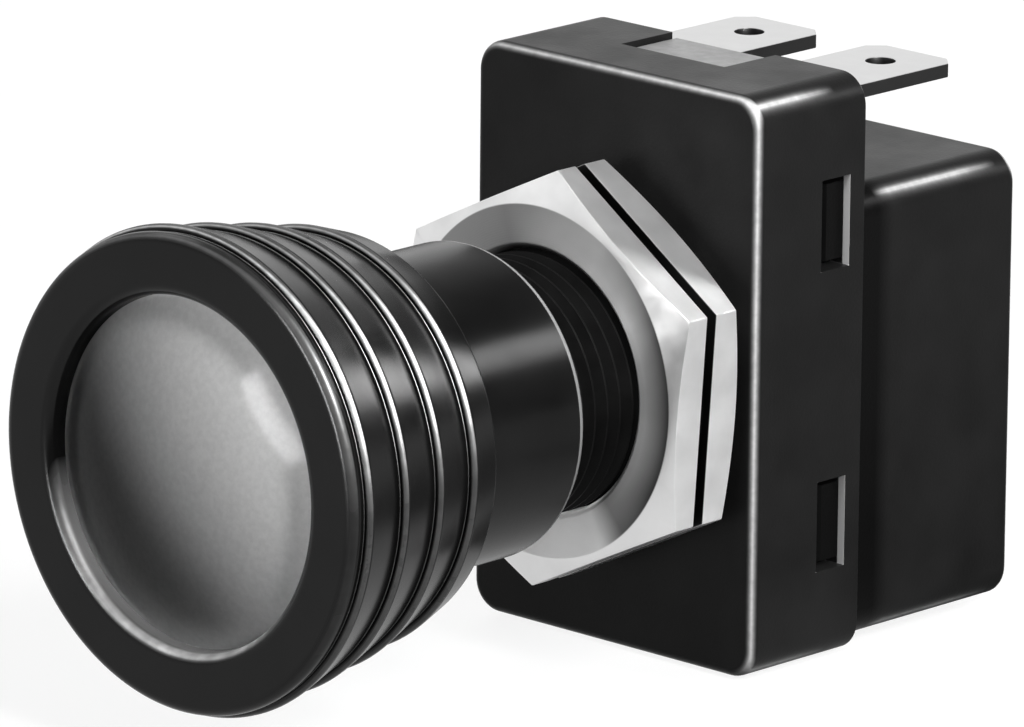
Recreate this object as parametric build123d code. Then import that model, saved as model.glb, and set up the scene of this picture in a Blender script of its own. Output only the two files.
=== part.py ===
from build123d import *
import os
from math import cos, radians, sqrt, tan

# Illuminated pull switch for a panel hole. Millimetres, +Z up, knob towards -Y.
# The origin lies on the plunger axis, in the plane where the panel's back face seats.

# Thread and nuts
bushing_d = 14.8          # crest of the panel thread
bushing_reach = 16.4      # thread ahead of the panel seat
bushing_flange_d = 17.6   # flange inside the cover
bushing_flange_t = 1.6
bushing_lead_in = 0.5     # chamfer at the thread's front end
nut_af = 21.0             # across flats
nut_turn_deg = 4.0        # both nuts as tightened, from flats left and right
front_nut_t = 2.1
rear_nut_t = 2.3
nut_gap = 0.7             # grip between the nuts as drawn
nut_ring = 0.955          # turned face over across flats
nut_chamfer_deg = 18.0

# Front cover
cover_w = 21.5
cover_up = 16.8           # top face above the axis
cover_down = 16.5         # bottom face below the axis
cover_d = 8.8
cover_wall = 1.4
cover_front_t = 2.0
cover_corner_r = 1.8
cover_edge_r = 0.6
boss_d = 18.0             # round boss that the rear nut seats on
boss_h = 1.1
window_w = 2.3            # latch windows in both sides
window_h = 5.2
window_rim = 1.2          # wall left behind each window
window_z_mid = 0.1
window_pitch = 17.3
notch_w = 7.8             # notch in the rear edge of the top
notch_l = 4.2
hold_rib_w = 3.0          # ribs behind the terminals' bends
hold_rib_h = 3.5
hold_rib_drop = 1.0       # rib below the blade's top
hold_rib_root = 0.5

# Rear case
case_w = 20.2
case_d = 13.6
case_top = 10.0
case_bottom = 16.1
case_wall = 1.8
case_corner_r = 1.8
case_edge_r = 0.5
plate_t = 3.4             # plate that closes the cover
tongue_gap = 0.8          # gap in front of the keying tongue
tongue_side_gap = 0.3
tongue_sink = 0.3         # tongue below the cover's top
lug_sink = 0.5            # latch lugs below the cover's sides
lug_root = 1.0

# Terminals
blade_w = 6.3
blade_t = 0.8
blade_pitch = 10.0
blade_reach = 10.9        # blade behind the cover
blade_nip = 1.1           # cut corners at the tip
blade_hole_d = 1.7
blade_hole_back = 3.3     # hole to tip
strip_bend_r = 0.4
strip_pull_l = 1.0        # the supply strip ends this much further forward

# Knob and lens
knob_r = 13.55            # crest of the first rib
knob_head = 14.5          # front of the knob ahead of the bushing's end
knob_rim_r = 13.5         # front disc
knob_round = 0.85         # front outer rounding
knob_lip_r = 0.7          # rounding round the lens opening
rib_count = 4
rib_first = 1.05          # front of the knob to the first groove
rib_pitch = 3.25
rib_step = 0.42           # each crest above the groove ahead of it
rib_fall = 0.46           # crest radius lost per rib
rib_curve = 0.037
rib_last_l = 2.3          # the last rib is cut short
rib_last_round = 0.5
neck_r = 8.95
neck_wall = 1.05
neck_gap = 8.2            # neck's rear rim ahead of the panel seat
neck_round = 0.55
lens_r = 9.75
lens_dome = 2.2
lens_t = 1.2
lens_rim_t = 1.5
lens_sink = 1.1           # lens edge behind the knob's front
lens_ledge = 1.0          # seat under the lens rim
bowl_step = 0.9           # bowl's floor round the tube

# Plunger
travel = 8.0
tube_r = 4.5
tube_wall = 0.85
tube_lip = 0.65           # step that stops the lamp contact's insulator
tube_head = 5.85          # tube ahead of the knob's hub
slider_l = 6.7
slider_seat = 0.4         # tube shoulder ahead of the slider
detent_h = 3.0
detent_t = 0.4
detent_w = 8.0
detent_bite = 1.2         # overlap the nose has to snap across
clip_t = 0.6
clip_groove = 0.3
clip_edge = 1.2           # clip beyond the tube
slider_foot = 1.2         # slider above the detent spring
nose_r = 1.1

# Lamp
lamp_r = 3.5
lamp_cap_l = 9.0
lamp_cap_proud = 2.0      # cap ahead of the tube
lamp_cap_t = 0.3
lamp_gap = 0.75           # bulb to the inside of the lens
glass_wall = 0.5
glass_set = 3.0           # bulb inside the cap
lamp_base_t = 0.6
lamp_tip_r = 1.2
lamp_tip_t = 0.5
pin_r = 0.55
pin_back = 3.4            # pins behind the tube's front
pin_fit = 0.15
lead_r = 0.6
lead_fit = 0.2
lead_turn = 1.5
contact_head_r = 1.7
contact_head_t = 0.8
contact_stem_r = 0.8
contact_tail = 0.5        # contact behind its insulator
plug_l = 3.4
lamp_spring_l = 3.2
lamp_coil_r = 1.3

# Contact bridge
bridge_t = 0.8
bridge_w = 3.0
bridge_fit = 0.1
button_h = 0.8
button_r = 1.3
shank_r = 0.6
coil_r = 1.0
coil_wire_r = 0.2
coil_fit = 0.15
disc_t = 0.4

# Clearances
run_fit = 0.05            # radial, sliding parts
seat_fit = 0.02           # radial, parts that stay put
stop_gap = 0.2            # flat stops at the ends of travel
free_gap = 0.4            # moving parts past the walls

# Positions along the plunger axis
cover_y0 = rear_nut_t + boss_h
cover_y1 = cover_y0 + cover_d
case_y1 = cover_y1 + case_d
plate_y0 = cover_y1 - plate_t
flange_y0 = cover_y0 + cover_front_t
flange_y1 = flange_y0 + bushing_flange_t
slider_y0 = flange_y1 + travel + stop_gap
slider_y1 = slider_y0 + slider_l
slider_mid = (slider_y0 + slider_y1) / 2
tube_y1 = slider_y1 + clip_t + clip_groove
knob_y0 = -bushing_reach - knob_head
lens_edge_y = knob_y0 + lens_sink
lens_seat_y = lens_edge_y + lens_rim_t
lens_apex_y = lens_edge_y - lens_dome
hub_y1 = -bushing_reach - free_gap
tube_y0 = hub_y1 - tube_head
lamp_y0 = tube_y0 - lamp_cap_proud
lamp_y1 = lamp_y0 + lamp_cap_l
lamp_pin_y = tube_y0 + pin_back
lamp_tip_y = lamp_y1 + lamp_base_t + lamp_tip_t
plug_y0 = lamp_tip_y + contact_head_t + lamp_spring_l
plug_y1 = plug_y0 + plug_l
lead_y0 = plug_y1 + contact_tail

# Heights and half widths
cover_h = cover_up + cover_down
cover_mid = (cover_up - cover_down) / 2
cover_in_x = cover_w / 2 - cover_wall
cover_in_h = cover_h - 2 * cover_wall
cover_in_r = cover_corner_r - cover_wall
cavity_x = case_w / 2 - case_wall
cavity_top = case_top - case_wall
cavity_floor = case_wall - case_bottom
cavity_y1 = case_y1 - case_wall
blade_x = blade_pitch / 2
blade_top = cover_up - cover_wall
contact_z = cavity_top - blade_t
bushing_r = bushing_d / 2
tube_rear_r = tube_r - slider_seat
tube_bore_r = tube_r - tube_wall
lead_bore_r = tube_bore_r - tube_lip
recess_r = lens_r + run_fit
cap_bore_r = lamp_r - lamp_cap_t
bridge_z1 = contact_z - button_h
bridge_z0 = bridge_z1 - bridge_t
bridge_x = cavity_x - 2 * free_gap
pocket_r = coil_r + coil_wire_r + coil_fit
pocket_x = bridge_x - pocket_r
slider_x = cavity_x - free_gap


def prism(sketch, y_rear, length):
    return extrude(Plane.XZ.offset(-y_rear) * sketch, length)


def turned(points):
    return revolve(make_face(Polyline(*points, close=True)), Axis.Y)


def ring(r_out, r_in, y_front, y_rear):
    return turned([(r_in, y_front), (r_out, y_front), (r_out, y_rear), (r_in, y_rear)])


def block(x0, x1, y0, y1, z0, z1):
    size = (x1 - x0, y1 - y0, z1 - z0)
    return Pos((x0 + x1) / 2, (y0 + y1) / 2, (z0 + z1) / 2) * Box(*size)


def wire_coil(x, y, z0, z1, coil_r, wire_r, turns):
    pitch = (z1 - z0 - 2 * wire_r) / turns
    path = Helix(pitch, pitch * turns, coil_r)
    section = Plane(path @ 0, z_dir=path % 0) * Circle(wire_r)
    return Pos(x, y, z0 + wire_r) * sweep(section, path=path)


def hex_nut(y_front, thickness, chamfer_front):
    corner_r = nut_af / sqrt(3)
    face_r = nut_af / 2 * nut_ring
    far_r = corner_r * 1.1
    drop = (far_r - face_r) * tan(radians(nut_chamfer_deg))
    y_rear = y_front + thickness
    hexagon = RegularPolygon(nut_af / 2, 6, major_radius=False, rotation=30 - nut_turn_deg)
    body = prism(hexagon, y_rear, thickness)
    if chamfer_front:
        cone = [(0, y_front), (face_r, y_front), (far_r, y_front + drop), (far_r, y_rear), (0, y_rear)]
    else:
        cone = [(0, y_front), (far_r, y_front), (far_r, y_rear - drop), (face_r, y_rear), (0, y_rear)]
    body = body & turned(cone)
    return body - ring(bushing_r + run_fit, 0, y_front, y_rear)


def threaded_bushing():
    return turned([
        (tube_r + run_fit, -bushing_reach),
        (bushing_r - bushing_lead_in, -bushing_reach),
        (bushing_r, -bushing_reach + bushing_lead_in),
        (bushing_r, flange_y0),
        (bushing_flange_d / 2, flange_y0),
        (bushing_flange_d / 2, flange_y1),
        (tube_r + run_fit, flange_y1),
    ])


def front_cover():
    outline = Pos(0, cover_mid) * RectangleRounded(cover_w, cover_h, cover_corner_r)
    body = prism(outline, cover_y1, cover_d)
    body = fillet(body.faces().sort_by(Axis.Y)[0].edges(), cover_edge_r)
    inner = Pos(0, cover_mid) * RectangleRounded(2 * cover_in_x, cover_in_h, cover_in_r)
    body -= prism(inner, cover_y1, cover_d - cover_front_t)
    body += ring(boss_d / 2, 0, rear_nut_t, cover_y0 + cover_front_t / 2)
    body -= ring(bushing_r + run_fit, 0, rear_nut_t, flange_y0)
    window_y1 = cover_y1 - window_rim
    for side in (-1, 1):
        for level in (-1, 1):
            z = window_z_mid + level * window_pitch / 2
            cut = Box(2 * cover_wall, window_w, window_h)
            body -= Pos(side * cover_w / 2, window_y1 - window_w / 2, z) * cut
    body -= block(-notch_w / 2, notch_w / 2, cover_y1 - notch_l, cover_y1, blade_top - cover_wall, cover_up)
    # ribs that hold the terminals against the plate
    rib_y0 = flange_y0 - hold_rib_root
    rib_y1 = plate_y0 - blade_t
    rib_z1 = blade_top - hold_rib_drop
    half = hold_rib_w / 2
    for side in (-1, 1):
        x = side * blade_x
        body += block(x - half, x + half, rib_y0, rib_y1, rib_z1 - hold_rib_h, rib_z1)
    return body


def rear_case():
    fit = seat_fit
    plate = RectangleRounded(2 * (cover_in_x - fit), cover_in_h - 2 * fit, cover_in_r)
    body = prism(Pos(0, cover_mid) * plate, cover_y1, plate_t)
    case_h = case_top + case_bottom
    outline = Pos(0, (case_top - case_bottom) / 2) * RectangleRounded(case_w, case_h, case_corner_r)
    rear_box = prism(outline, case_y1, case_d)
    rear_box = fillet(rear_box.faces().sort_by(Axis.Y)[-1].edges(), case_edge_r)
    body += rear_box
    body -= block(-cavity_x, cavity_x, plate_y0, cavity_y1, cavity_floor, cavity_top)
    # notches that the blades lie in
    for side in (-1, 1):
        x = side * blade_x
        half = blade_w / 2 + fit
        body -= block(x - half, x + half, plate_y0, cover_y1, blade_top - blade_t, cover_up)
    # keying tongue: a stem between the blades and a head in the cover's notch
    head = notch_w / 2 - tongue_side_gap
    head_y0 = cover_y1 - notch_l + tongue_gap
    head_z0 = blade_top + fit
    stem = blade_x - blade_w / 2 - 2 * fit
    body += block(-stem, stem, head_y0, cover_y1, blade_top - blade_t, head_z0 + fit)
    body += block(-head, head, head_y0, cover_y1, head_z0, cover_up - tongue_sink)
    # latch lugs that show in the windows
    lug_y1 = cover_y1 - window_rim
    lug_x = cover_w / 2 - lug_sink
    lug_h = window_h - 2 * free_gap
    for side in (-1, 1):
        for level in (-1, 1):
            z = window_z_mid + level * window_pitch / 2
            x0, x1 = sorted((side * (cover_in_x - lug_root), side * lug_x))
            lug_y0 = lug_y1 - window_w + free_gap
            body += block(x0, x1, lug_y0, lug_y1, z - lug_h / 2, z + lug_h / 2)
    # shallow bed for the detent spring
    half = detent_w / 2 + run_fit
    bed = detent_span() + free_gap
    mid = detent_mid()
    body -= block(-half, half, mid - bed, mid + bed, cavity_floor - detent_t, cavity_floor)
    return body


def terminal(side, strip_y1):
    y0 = plate_y0 - blade_t
    tip = cover_y1 + blade_reach
    x = side * blade_x
    outer = [
        (strip_y1, contact_z),
        (y0, contact_z),
        (y0, blade_top),
        (tip, blade_top),
        (tip, blade_top - blade_t),
        (plate_y0, blade_top - blade_t),
        (plate_y0, cavity_top),
        (strip_y1, cavity_top),
    ]
    face = make_face(Plane.YZ * Polyline(*outer, close=True))
    body = Pos(x - blade_w / 2, 0, 0) * extrude(face, blade_w, dir=(1, 0, 0))
    bends = body.edges().filter_by(Axis.X).filter_by_position(Axis.Y, y0 - 0.01, y0 + 0.01)
    body = fillet(bends, strip_bend_r)
    hole = Pos(x, tip - blade_hole_back, blade_top) * Cylinder(blade_hole_d / 2, 4 * blade_t)
    body -= hole
    corners = body.edges().filter_by(Axis.Z).filter_by_position(Axis.Y, tip - 0.01, tip + 0.01)
    return chamfer(corners, blade_nip)


def detent_mid():
    return slider_mid - travel / 2


def detent_span():
    return travel * 0.66


def detent_spring():
    z0 = cavity_floor - detent_t
    top = cavity_floor + detent_h - detent_t
    mid = detent_mid()
    span = detent_span()
    under = [
        (mid - span, z0),
        (mid - span * 0.6, z0),
        (mid - span * 0.12, top),
        (mid + span * 0.12, top),
        (mid + span * 0.6, z0),
        (mid + span, z0),
    ]
    upper = [(y, z + detent_t) for y, z in reversed(under)]
    face = make_face(Plane.YZ * Polyline(*under, *upper, close=True))
    return Pos(-detent_w / 2, 0, 0) * extrude(face, detent_w, dir=(1, 0, 0))


def crest(i):
    return knob_r - rib_fall * i - rib_curve * i * i


def corner_arc(r0, y0, r1, y1):
    # quarter round that leaves (r0, y0) along the axis or the radius and bulges outwards and forwards
    slant = 1 - cos(radians(45))
    return ThreePointArc((r0, y0), (r1 - (r1 - r0) * slant, y0 + (y1 - y0) * slant), (r1, y1))


def knob():
    y0 = knob_y0
    ledge_r = lens_r - lens_ledge
    lip = 1 - cos(radians(45))
    outline = [
        Line((ledge_r, lens_seat_y), (recess_r, lens_seat_y)),
        Line((recess_r, lens_seat_y), (recess_r, y0 + knob_lip_r)),
        ThreePointArc(
            (recess_r, y0 + knob_lip_r),
            (recess_r + knob_lip_r * lip, y0 + knob_lip_r * lip),
            (recess_r + knob_lip_r, y0),
        ),
        Line((recess_r + knob_lip_r, y0), (knob_rim_r - knob_round, y0)),
        corner_arc(knob_rim_r - knob_round, y0, knob_rim_r, y0 + knob_round),
    ]
    r = knob_rim_r
    y = y0 + knob_round
    for i in range(rib_count):
        groove_y = y0 + rib_first + rib_pitch * i
        groove_r = crest(i) - rib_step
        outline.append(Line((r, y), (groove_r, groove_y)))
        outline.append(corner_arc(groove_r, groove_y, crest(i), groove_y + rib_step))
        r = crest(i)
        y = groove_y + rib_step
    end_y = y + rib_last_l - rib_step
    end_r = crest(rib_count - 1 + rib_last_l / rib_pitch) - rib_step * rib_last_l / rib_pitch
    slant = rib_last_round * lip
    bore_r = tube_r + seat_fit
    skirt_r = neck_r - neck_wall
    bowl_y = tube_y0 - free_gap
    outline += [
        Line((r, y), (end_r, end_y)),
        ThreePointArc(
            (end_r, end_y),
            (end_r - slant, end_y + rib_last_round - slant),
            (end_r - rib_last_round, end_y + rib_last_round),
        ),
        Line((end_r - rib_last_round, end_y + rib_last_round), (neck_r, end_y + rib_last_round)),
        Line((neck_r, end_y + rib_last_round), (neck_r, -neck_gap - neck_round)),
        ThreePointArc(
            (neck_r, -neck_gap - neck_round),
            (neck_r - neck_round * lip, -neck_gap - neck_round * lip),
            (neck_r - neck_round, -neck_gap),
        ),
        Line((neck_r - neck_round, -neck_gap), (skirt_r, -neck_gap)),
        Line((skirt_r, -neck_gap), (skirt_r, hub_y1)),
        Line((skirt_r, hub_y1), (bore_r, hub_y1)),
        Line((bore_r, hub_y1), (bore_r, bowl_y)),
        Line((bore_r, bowl_y), (bore_r + bowl_step, bowl_y)),
        Line((bore_r + bowl_step, bowl_y), (ledge_r, lens_seat_y)),
    ]
    return revolve(make_face(outline), Axis.Y)


def dome_arc(r, apex, height):
    sphere_r = (r * r + height * height) / (2 * height)
    half = r / 2
    mid = apex + sphere_r - sqrt(sphere_r * sphere_r - half * half)
    return ThreePointArc((0, apex), (half, mid), (r, apex + height))


def lens():
    apex = lens_apex_y
    inner_r = lens_r - lens_t
    inner_dome = lens_dome - lens_t * 0.4
    inner_edge = apex + lens_t + inner_dome
    outline = [
        Line((0, apex + lens_t), (0, apex)),
        dome_arc(lens_r, apex, lens_dome),
        Line((lens_r, lens_edge_y), (lens_r, lens_seat_y)),
        Line((lens_r, lens_seat_y), (inner_r, lens_seat_y)),
        Line((inner_r, lens_seat_y), (inner_r, inner_edge)),
        dome_arc(inner_r, apex + lens_t, inner_dome),
    ]
    return revolve(make_face(outline), Axis.Y)


def lamp_cap():
    body = ring(lamp_r, cap_bore_r, lamp_y0, lamp_y1)
    pin_x = lamp_r - lamp_cap_t / 2
    pin_l = tube_r - pin_fit - pin_x
    for side in (-1, 1):
        pin = Rot(0, 90, 0) * Cylinder(pin_r, pin_l)
        body += Pos(side * (pin_x + pin_l / 2), lamp_pin_y, 0) * pin
    return body


def lamp_glass():
    r = cap_bore_r - seat_fit
    r_in = r - glass_wall
    y_dome = lens_apex_y + lens_t + lamp_gap + r
    y_end = lamp_y0 + glass_set
    slant = cos(radians(45))
    outline = [
        Line((0, y_dome - r), (0, y_dome - r_in)),
        ThreePointArc((0, y_dome - r_in), (r_in * slant, y_dome - r_in * slant), (r_in, y_dome)),
        Line((r_in, y_dome), (r_in, y_end)),
        Line((r_in, y_end), (r, y_end)),
        Line((r, y_end), (r, y_dome)),
        ThreePointArc((r, y_dome), (r * slant, y_dome - r * slant), (0, y_dome - r)),
    ]
    return revolve(make_face(outline), Axis.Y)


def lead_way(length):
    hole = Cylinder(lead_r + lead_fit, length, align=(Align.CENTER, Align.CENTER, Align.MIN))
    return Pos(0, slider_mid, 0) * Rot(0, 90, 0) * hole


def plunger_tube():
    groove_y1 = slider_y1 + clip_t
    body = turned([
        (tube_bore_r, tube_y0),
        (tube_r, tube_y0),
        (tube_r, slider_y0),
        (tube_rear_r, slider_y0),
        (tube_rear_r, slider_y1),
        (tube_rear_r - clip_groove, slider_y1),
        (tube_rear_r - clip_groove, groove_y1),
        (tube_rear_r, groove_y1),
        (tube_rear_r, tube_y1),
        (lead_bore_r, tube_y1),
        (lead_bore_r, plug_y1),
        (tube_bore_r, plug_y1),
    ])
    # hooked bayonet slots for the lamp's pins
    slot = pin_r + pin_fit
    for side in (-1, 1):
        x0, x1 = sorted((side * (tube_bore_r - tube_wall), side * (tube_r + tube_wall)))
        turn_z = -side * 2 * slot
        z0, z1 = sorted((-slot, turn_z - slot, turn_z + slot, slot))[0::3]
        body -= block(x0, x1, tube_y0, lamp_pin_y + slot, turn_z - slot, turn_z + slot)
        body -= block(x0, x1, lamp_pin_y - slot, lamp_pin_y + slot, z0, z1)
    return body - lead_way(tube_r)


def slider():
    z1 = contact_z - 1.5 * free_gap
    z0 = cavity_floor + detent_h + free_gap + slider_foot
    body = block(-slider_x, slider_x, slider_y0, slider_y1, z0, z1)
    body -= ring(tube_rear_r + seat_fit, 0, slider_y0, slider_y1)
    slot = bridge_w / 2 + bridge_fit
    body -= block(-slider_x, slider_x, slider_mid - slot, slider_mid + slot, bridge_z0 - free_gap, z1)
    for side in (-1, 1):
        pocket_l = bridge_z0 - lead_r
        body -= Pos(side * pocket_x, slider_mid, lead_r + pocket_l / 2) * Cylinder(pocket_r, pocket_l)
    body -= lead_way(pocket_x)
    # nose that snaps over the detent spring
    nose_z = cavity_floor + detent_h - detent_bite + nose_r
    nose = Pos(0, slider_mid, nose_z) * Rot(0, 90, 0) * Cylinder(nose_r, detent_w)
    stem = block(-detent_w / 2, detent_w / 2, slider_mid - nose_r, slider_mid + nose_r, nose_z, z0 + nose_r)
    return body + nose + stem


def slider_clip():
    y0 = slider_y1
    body = ring(tube_r + clip_edge, tube_rear_r - clip_groove + seat_fit, y0, y0 + clip_t)
    mouth = tube_rear_r * 0.8
    return body - block(-mouth, mouth, y0, y0 + clip_t, -tube_r - 2 * clip_edge, 0)


def contact_bridge():
    y0 = slider_mid - bridge_w / 2
    body = block(-bridge_x, bridge_x, y0, y0 + bridge_w, bridge_z0, bridge_z1)
    for side in (-1, 1):
        body -= Pos(side * blade_x, slider_mid, bridge_z0) * Cylinder(shank_r + seat_fit, 4 * bridge_t)
    return body


def bridge_buttons():
    buttons = []
    up = (Align.CENTER, Align.CENTER, Align.MIN)
    for side in (-1, 1):
        base = Pos(side * blade_x, slider_mid, bridge_z0)
        shank = Cylinder(shank_r, bridge_t, align=up)
        head = Pos(0, 0, bridge_t) * Cone(button_r, button_r * 0.8, button_h, align=up)
        buttons.append(base * (shank + head))
    return Compound(buttons)


def bridge_springs():
    coils = []
    for side in (-1, 1):
        z0 = lead_r + disc_t
        coils.append(wire_coil(side * pocket_x, slider_mid, z0, bridge_z0, coil_r, coil_wire_r, 4))
    return Compound(coils)


def lead_discs():
    discs = []
    for side in (-1, 1):
        disc = Cylinder(coil_r + coil_wire_r, disc_t)
        discs.append(Pos(side * pocket_x, slider_mid, lead_r + disc_t / 2) * disc)
    return Compound(discs)


def lamp_lead():
    bend_y = slider_mid - lead_turn
    path = Line((0, lead_y0, 0), (0, bend_y, 0))
    path += RadiusArc((0, bend_y, 0), (lead_turn, slider_mid, 0), lead_turn)
    path += Line((lead_turn, slider_mid, 0), (pocket_x, slider_mid, 0))
    section = Plane((0, lead_y0, 0), z_dir=(0, 1, 0)) * Circle(lead_r)
    return sweep(section, path=path)


def lamp_contact():
    head_y1 = lamp_tip_y + contact_head_t
    return turned([
        (0, lamp_tip_y),
        (contact_head_r, lamp_tip_y),
        (contact_head_r, head_y1),
        (contact_stem_r, head_y1),
        (contact_stem_r, lead_y0),
        (0, lead_y0),
    ])


def lamp_spring():
    coil = wire_coil(0, 0, 0, lamp_spring_l, lamp_coil_r, coil_wire_r, 3.5)
    return Pos(0, plug_y0, 0) * Rot(90, 0, 0) * coil


nodes = {
    "front_cover": front_cover(),
    "rear_case": rear_case(),
    "threaded_bushing": threaded_bushing(),
    "rear_nut": hex_nut(0, rear_nut_t, False),
    "front_nut": hex_nut(-nut_gap - front_nut_t, front_nut_t, True),
    "supply_terminal": terminal(1, slider_mid - button_r - 2 * free_gap - strip_pull_l),
    "load_terminal": terminal(-1, slider_y1),
    "detent_spring": detent_spring(),
    "knob": knob(),
    "lens": lens(),
    "lamp_glass": lamp_glass(),
    "lamp_cap": lamp_cap(),
    "lamp_base": ring(cap_bore_r, 0, lamp_y1, lamp_y1 + lamp_base_t),
    "lamp_tip": ring(lamp_tip_r, 0, lamp_y1 + lamp_base_t, lamp_tip_y),
    "lamp_contact": lamp_contact(),
    "lamp_spring": lamp_spring(),
    "contact_plug": ring(tube_bore_r - seat_fit, contact_stem_r + run_fit, plug_y0, plug_y1),
    "lamp_lead": lamp_lead(),
    "plunger_tube": plunger_tube(),
    "slider": slider(),
    "slider_clip": slider_clip(),
    "contact_bridge": contact_bridge(),
    "bridge_buttons": bridge_buttons(),
    "bridge_springs": bridge_springs(),
    "lead_discs": lead_discs(),
}

os.makedirs("parts", exist_ok=True)
for name, shape in nodes.items():
    export_step(shape, f"parts/{name}.step")
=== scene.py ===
import math

import bmesh
import bpy
from mathutils import Matrix, Vector


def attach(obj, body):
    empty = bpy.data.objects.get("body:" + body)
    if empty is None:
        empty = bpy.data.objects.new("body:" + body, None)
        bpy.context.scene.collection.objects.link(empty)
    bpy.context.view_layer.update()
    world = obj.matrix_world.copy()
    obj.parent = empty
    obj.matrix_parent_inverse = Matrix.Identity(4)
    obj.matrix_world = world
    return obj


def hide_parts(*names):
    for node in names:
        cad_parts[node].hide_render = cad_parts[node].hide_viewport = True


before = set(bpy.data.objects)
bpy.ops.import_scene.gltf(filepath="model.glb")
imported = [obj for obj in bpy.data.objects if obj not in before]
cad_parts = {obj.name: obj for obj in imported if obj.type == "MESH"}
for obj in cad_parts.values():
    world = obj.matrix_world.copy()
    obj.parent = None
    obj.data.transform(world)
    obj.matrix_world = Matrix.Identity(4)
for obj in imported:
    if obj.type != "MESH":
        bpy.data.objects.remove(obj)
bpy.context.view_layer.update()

mm = 0.001  # pieces are drawn in millimetres and scaled once, at the end
past = 1.0  # how far a cutting block runs past the face it cuts, in millimetres
lap = 0.5  # overlap of blocks that are joined to or trimmed by each other, in millimetres
weld = 0.0005  # corners closer than this are joined, in millimetres
samePlace = 0.001  # corners this close to a plane are taken as on it, in millimetres
print("frame loaded:", len(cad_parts), "nodes")


# shape helpers

def outline(points, roundSteps=6):
    # closed outline of (radius, along, rounding) in the XY plane
    bm = bmesh.new()
    corners = [bm.verts.new((r, y, 0)) for r, y, rounding in points]
    for a, b in zip(corners, corners[1:] + corners[:1]):
        bm.edges.new((a, b))
    for corner, (r, y, rounding) in zip(corners, points):
        if rounding:
            roundCorner(bm, corner, rounding, roundSteps)
    return bm


def roundCorner(bm, corner, width, steps):
    bmesh.ops.bevel(bm, geom=[corner], offset=width, segments=steps, profile=0.5,
                    affect="VERTICES", material=-1)


def turnOnAxis(bm, steps):
    bmesh.ops.spin(bm, geom=bm.verts[:] + bm.edges[:], cent=(0, 0, 0), axis=(0, 1, 0),
                   angle=2 * math.pi, steps=steps, use_merge=True)
    bmesh.ops.remove_doubles(bm, verts=bm.verts[:], dist=weld)
    bmesh.ops.recalc_face_normals(bm, faces=bm.faces[:])
    return bm


def block(x0, x1, y0, y1, z0, z1):
    bm = bmesh.new()
    bmesh.ops.create_cube(bm, size=1)
    bmesh.ops.scale(bm, vec=(x1 - x0, y1 - y0, z1 - z0), verts=bm.verts[:])
    bmesh.ops.translate(bm, vec=((x0 + x1) / 2, (y0 + y1) / 2, (z0 + z1) / 2), verts=bm.verts[:])
    return bm


def sideBlock(side, xs, ys, z, half):
    # block on the left (-1) or right (1) side, centred on height z
    x0, x1 = sorted((side * xs[0], side * xs[1]))
    return block(x0, x1, *ys, z - half, z + half)


def rod(radius, length, steps):
    bm = bmesh.new()
    bmesh.ops.create_cone(bm, cap_ends=True, segments=steps, radius1=radius, radius2=radius, depth=length)
    return bm


def rotate(bm, deg, axis):
    turn = Matrix.Rotation(math.radians(deg), 3, axis)
    bmesh.ops.rotate(bm, cent=(0, 0, 0), matrix=turn, verts=bm.verts[:])


def thicken(bm, vec):
    # the flat outline in bm becomes a solid
    raised = bmesh.ops.extrude_face_region(bm, geom=bm.faces[:], use_keep_orig=True)
    bmesh.ops.translate(bm, vec=vec, verts=[g for g in raised["geom"] if isinstance(g, bmesh.types.BMVert)])
    bmesh.ops.recalc_face_normals(bm, faces=bm.faces[:])


def edgesAlong(bm, axis, parallel=0.999):
    way = Vector(axis)
    return [e for e in bm.edges if abs((e.verts[1].co - e.verts[0].co).normalized().dot(way)) > parallel]


def edgesOn(edges, axis, place):
    # those of the edges that lie in a plane across an axis (0, 1, 2 for x, y, z)
    return [e for e in edges if all(abs(v.co[axis] - place) < samePlace for v in e.verts)]


def roundEdges(bm, edges, width, steps):
    bmesh.ops.bevel(bm, geom=edges, offset=width, segments=steps, profile=0.5,
                    affect="EDGES", material=-1, clamp_overlap=True)


def softenSharp(bm, width, overDeg=35, steps=2, flatDeg=0.3):
    # faces within flatDeg become one, then every edge that is still sharp gets a small radius
    bmesh.ops.dissolve_limit(bm, angle_limit=math.radians(flatDeg), verts=bm.verts[:], edges=bm.edges[:])
    sharp = [e for e in bm.edges if e.is_manifold and e.calc_face_angle() > math.radians(overDeg)]
    roundEdges(bm, sharp, width, steps)


def mouldedBox(s, roundedFace):
    # box with round corners along the plunger's axis and one face with a rounded border
    bm = block(-s["halfWidth"], s["halfWidth"], s["front"], s["rear"], s["bottom"], s["top"])
    roundEdges(bm, edgesAlong(bm, (0, 1, 0)), s["corner"], s["cornerSteps"])
    roundEdges(bm, edgesOn(bm.edges, 1, roundedFace), s["edge"], s["edgeSteps"])
    return bm


def asObject(name, bm):
    mesh = bpy.data.meshes.new(name)
    bm.to_mesh(mesh)
    bm.free()
    thing = bpy.data.objects.new(name, mesh)
    bpy.context.scene.collection.objects.link(thing)
    return thing


def carve(bm, tool, operation="DIFFERENCE"):
    base = asObject("carveBase", bm)
    cutter = asObject("carveTool", tool)
    step = base.modifiers.new("carve", "BOOLEAN")
    step.operation = operation
    step.solver = "EXACT"
    step.object = cutter
    carved = bpy.data.meshes.new_from_object(base.evaluated_get(bpy.context.evaluated_depsgraph_get()))
    out = bmesh.new()
    out.from_mesh(carved)
    for thing in (base, cutter):
        mesh = thing.data
        bpy.data.objects.remove(thing)
        bpy.data.meshes.remove(mesh)
    bpy.data.meshes.remove(carved)
    bmesh.ops.remove_doubles(out, verts=out.verts[:], dist=weld)
    return out


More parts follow.
